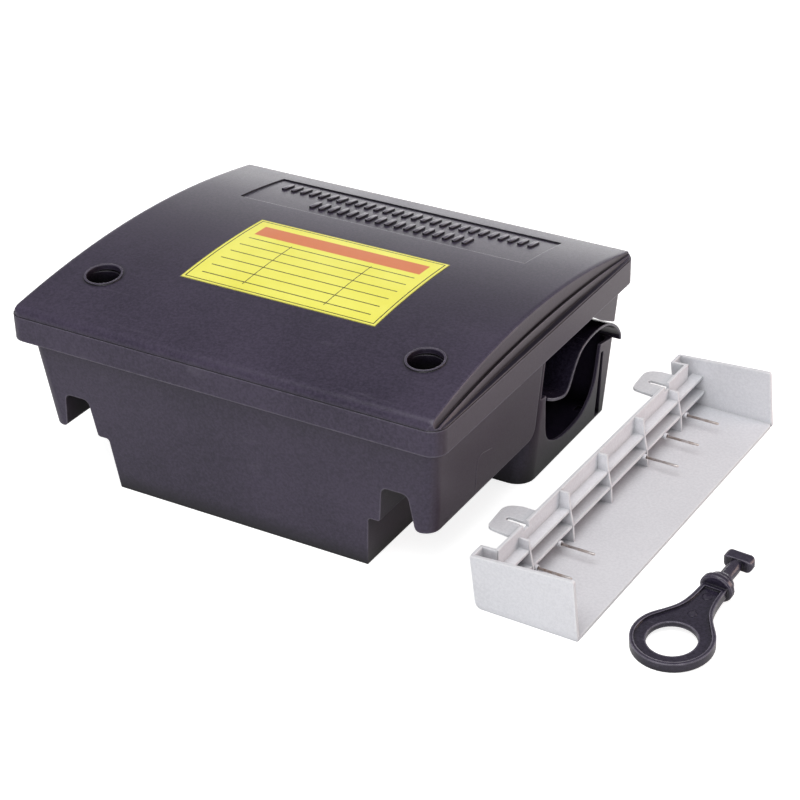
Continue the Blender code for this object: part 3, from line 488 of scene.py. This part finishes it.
def ejector_marks():
    """The round witness marks that the mould's ejector pins leave in the key's web."""
    top_of = surface_finder("key")
    work = bmesh.new()
    turns = [math.tau * k / MARK_SIDES for k in range(MARK_SIDES)]
    for x, y, radius in EJECTOR_MARKS:
        spot, normal = top_of(x, y)
        place = Matrix.Translation(spot) @ upright_to(normal)
        rings = [[work.verts.new(place @ Vector((radius * reach * math.cos(turn),
                                                 radius * reach * math.sin(turn), height)))
                  for turn in turns] for reach, height in MARK_PROFILE]
        centre = work.verts.new(spot)
        for lower, upper in zip(rings, rings[1:]):
            for k in range(MARK_SIDES):
                work.faces.new((lower[k - 1], lower[k], upper[k], upper[k - 1]))
        for k in range(MARK_SIDES):
            work.faces.new((rings[-1][k - 1], rings[-1][k], centre))
        work.faces.new(rings[0][::-1])
    finish = moulded_plastic("mark_moulding", (0.015, 0.012, 0.024), (0.036, 0.030, 0.052),
                             (0.10, 0.09, 0.12), 0.18, 0.004 * MM, 0.8, rub_and_highlight=0.15)
    new_piece(mesh_of(work, "key_ejector_marks"), "key", finish)


def drawn_pin(node):
    """A steel pin with a chamfered tip in place of a plain rod."""
    low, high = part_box(node)
    length, radius = high.x - low.x, (high.z - low.z) / 2
    work = bmesh.new()
    profile = [work.verts.new((radius * out, 0.0, length * along)) for out, along in PIN_PROFILE]
    for first, second in zip(profile, profile[1:]):
        work.edges.new((first, second))
    bmesh.ops.spin(work, geom=work.verts[:] + work.edges[:], cent=(0, 0, 0), axis=UP,
                   angle=math.tau, steps=PIN_SIDES, use_merge=True)
    bmesh.ops.remove_doubles(work, verts=work.verts, dist=SAME_POINT)
    bmesh.ops.recalc_face_normals(work, faces=work.faces)
    span = Vector((length, low.y + radius * 2 - high.y, 0.0))
    start = Vector((low.x, high.y - radius, (low.z + high.z) / 2))
    place = Matrix.Translation(start) @ upright_to(span.normalized())
    bmesh.ops.transform(work, matrix=place, verts=work.verts)
    new_piece(mesh_of(work, node + "_drawn"), node, replaced=[node])


def dress_cad_nodes():
    """Give every CAD node the finish of its material slot."""
    for name, item in NODES.items():
        item.data.materials.clear()
        item.data.materials.append(FINISHES[SLOT_OF[name]])


def stage_floor():
    """The pale floor that the object stands on."""
    work = bmesh.new()
    bmesh.ops.create_grid(work, x_segments=1, y_segments=1, size=FLOOR_HALF)
    floor = bpy.data.objects.new("floor", mesh_of(work, "floor", smooth=False))
    bpy.context.scene.collection.objects.link(floor)
    floor.location.z = -FLOOR_DROP
    floor.data.materials.append(floor_surface("pale_floor"))


def area_light(name, place, target, size, power, colour):
    """A rectangular lamp that the camera doesn't see."""
    lamp = bpy.data.lights.new(name, "AREA")
    lamp.shape = "RECTANGLE"
    lamp.size, lamp.size_y = size
    lamp.energy = power
    lamp.color = colour
    item = bpy.data.objects.new(name, lamp)
    item.location = place
    item.rotation_euler = (Vector(target) - Vector(place)).to_track_quat("-Z", "Y").to_euler()
    item.visible_camera = False
    bpy.context.scene.collection.objects.link(item)


def light_scene():
    """The lamps, in a dim room that is white to the camera."""
    world = bpy.data.worlds.new("studio")
    bpy.context.scene.world = world
    world.use_nodes = True
    nodes, links = world.node_tree.nodes, world.node_tree.links
    room = nodes["Background"]
    seen = nodes.new("ShaderNodeBackground")
    for backdrop, colour, strength in ((room, ROOM_COLOUR, ROOM_STRENGTH), (seen, WHITE, 1.0)):
        backdrop.inputs["Color"].default_value = (*colour, 1.0)
        backdrop.inputs["Strength"].default_value = strength
    mix = nodes.new("ShaderNodeMixShader")
    links.new(nodes.new("ShaderNodeLightPath").outputs["Is Camera Ray"], mix.inputs["Fac"])
    links.new(room.outputs["Background"], mix.inputs[1])
    links.new(seen.outputs["Background"], mix.inputs[2])
    links.new(mix.outputs["Shader"], nodes["World Output"].inputs["Surface"])
    for lamp in LAMPS:
        area_light(*lamp)
    bpy.context.scene.view_settings.view_transform = "Standard"


def set_camera():
    """The camera, in front of the right end and above."""
    lens = bpy.data.cameras.new("camera")
    lens.sensor_width = CAMERA_SENSOR
    lens.lens = CAMERA_LENS
    lens.shift_x = CAMERA_SHIFT
    camera = bpy.data.objects.new("camera", lens)
    camera.location = CAMERA_PLACE
    camera.rotation_euler = (CAMERA_TILT, 0.0, CAMERA_TURN)
    bpy.context.scene.collection.objects.link(camera)
    bpy.context.scene.camera = camera


set_camera()
FINISHES = finishes()
dress_cad_nodes()
for soft_node, soft_width in SOFT_EDGES.items():
    softened(soft_node, soft_width)
rear_ribs()
mould_lines()
ejector_marks()
for pin_name in [name for name in NODES if name.startswith("tray_pin")]:
    drawn_pin(pin_name)
stage_floor()
light_scene()
